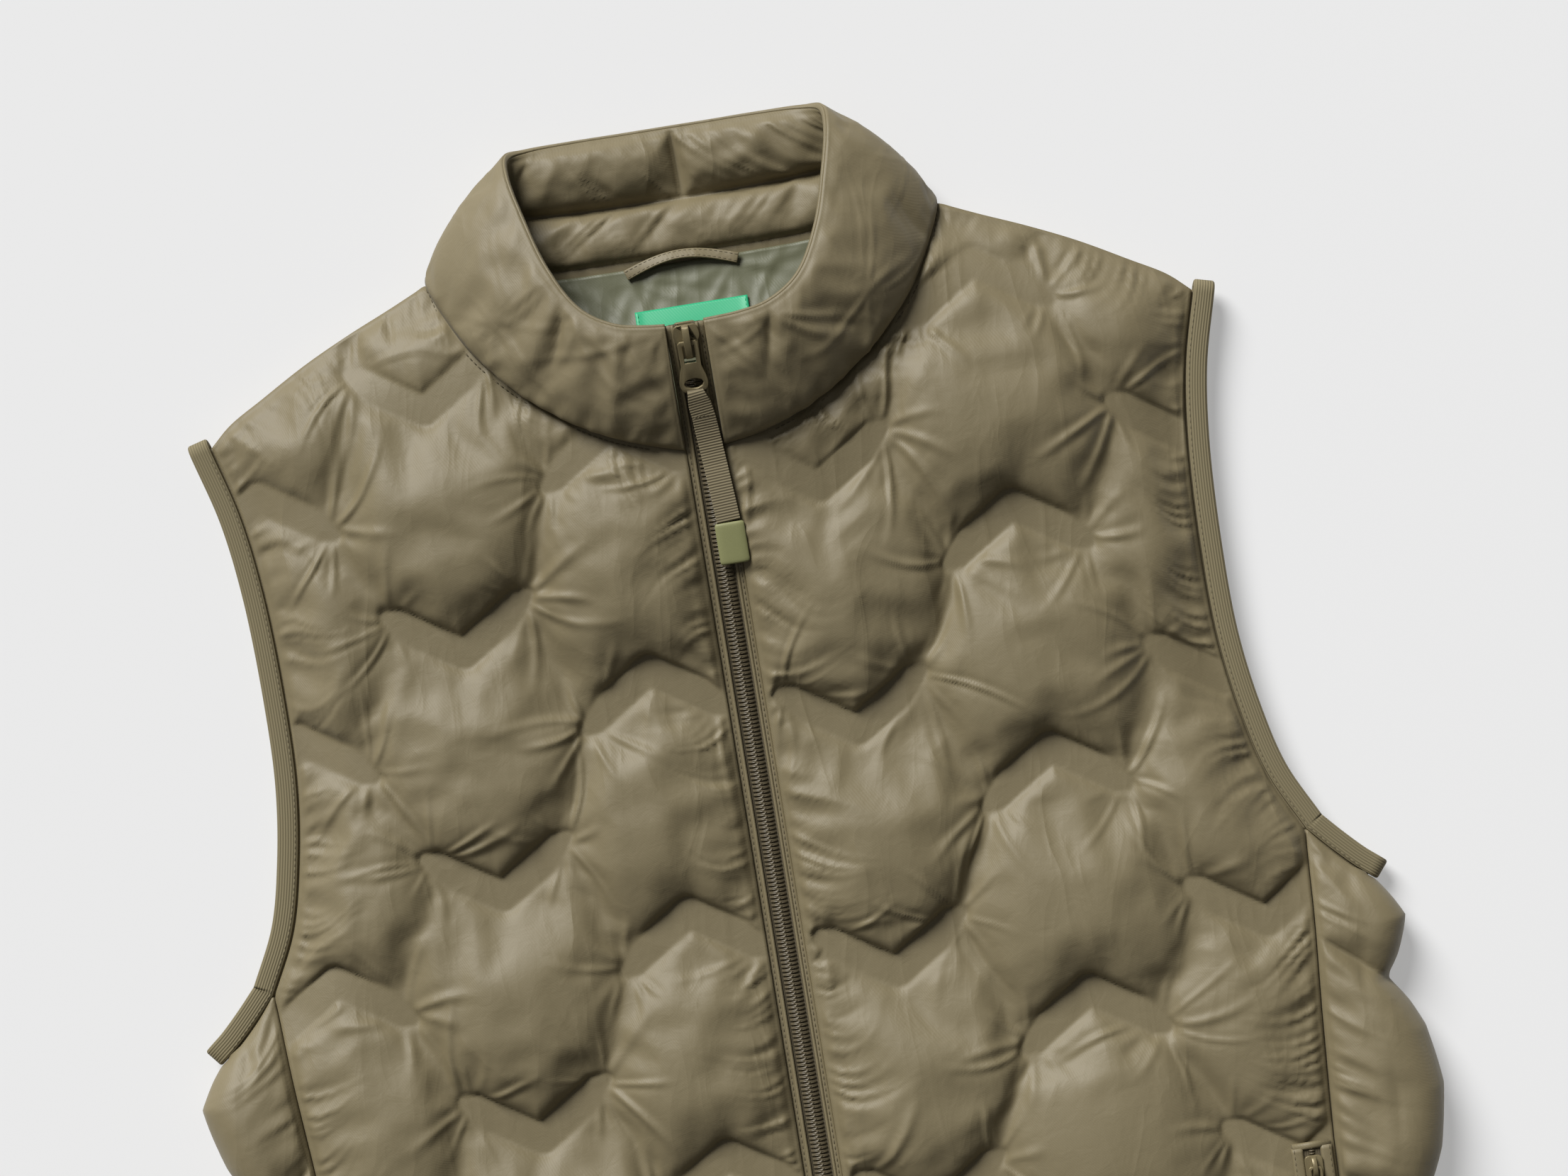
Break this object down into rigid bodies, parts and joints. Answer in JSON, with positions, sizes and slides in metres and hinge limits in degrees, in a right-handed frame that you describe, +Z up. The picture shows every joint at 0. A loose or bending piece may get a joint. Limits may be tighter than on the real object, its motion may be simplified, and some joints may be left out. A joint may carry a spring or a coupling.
{
  "type": "puffer vest",
  "caption": "Padded sleeveless zip-front vest with a stand collar and bonded zigzag quilting, laid flat on its back.",
  "frame": {"origin": "middle of the footprint, on the floor that the vest lies on", "axes": "+Z up from the floor, +Y from the hem towards the collar, +X towards the wearer's left side; the front of the vest faces +Z"},
  "size_m": [0.5776, 0.7286, 0.0668],
  "materials": {
    "shell_fabric": "plain-woven nylon with a low sheen, khaki",
    "lining_fabric": "smooth plain-woven lining, grey green",
    "label_fabric": "woven satin label, green, bare",
    "elastic_binding": "matt ribbed elastic tape, khaki",
    "zip_tape": "matt woven zip tape, dark khaki",
    "zip_coil": "wound nylon coil, dark khaki",
    "zip_metal": "die-cast zinc, painted khaki, worn at the edges",
    "pull_webbing": "ribbed woven ribbon, khaki",
    "pull_rubber": "moulded soft rubber, light olive, bare"
  },
  "bodies": {
    "garment": {"back": "shell_fabric", "front_left": "shell_fabric", "front_right": "shell_fabric", "side_left": "shell_fabric", "side_right": "shell_fabric", "collar_outer": "shell_fabric", "collar_inner": "shell_fabric", "hanger_loop": "shell_fabric", "back_lining": "lining_fabric", "label": "label_fabric", "armhole_binding_left": "elastic_binding", "armhole_binding_right": "elastic_binding", "zip_tape_left": "zip_tape", "zip_tape_right": "zip_tape", "zip_chain": "zip_coil", "zip_box": "zip_coil", "slider": "zip_metal", "pocket_zip_left": "zip_tape", "pocket_zip_right": "zip_tape", "pocket_slider_left": "zip_metal", "pocket_slider_right": "zip_metal"},
    "front_pull": {"pull_tab": "zip_metal", "pull_ribbon": "pull_webbing", "pull_tip": "pull_rubber"},
    "left_pocket_pull": {"pocket_pull_left": "zip_metal"},
    "right_pocket_pull": {"pocket_pull_right": "zip_metal"}
  },
  "joints": [
    {"name": "front_pull_turn", "type": "hinge", "parent": "garment", "child": "front_pull", "pos_m": [-0.0048, 0.25725, 0.06259], "axis": [-1, 0, 0], "range_deg": [0, 160]},
    {"name": "left_pocket_pull_turn", "type": "hinge", "parent": "garment", "child": "left_pocket_pull", "pos_m": [0.22441, -0.17085, 0.02905], "axis": [-0.9997, 0.025, 0], "range_deg": [0, 150]},
    {"name": "right_pocket_pull_turn", "type": "hinge", "parent": "garment", "child": "right_pocket_pull", "pos_m": [-0.22602, -0.17085, 0.02905], "axis": [-0.9997, -0.025, 0], "range_deg": [0, 150]}
  ]
}
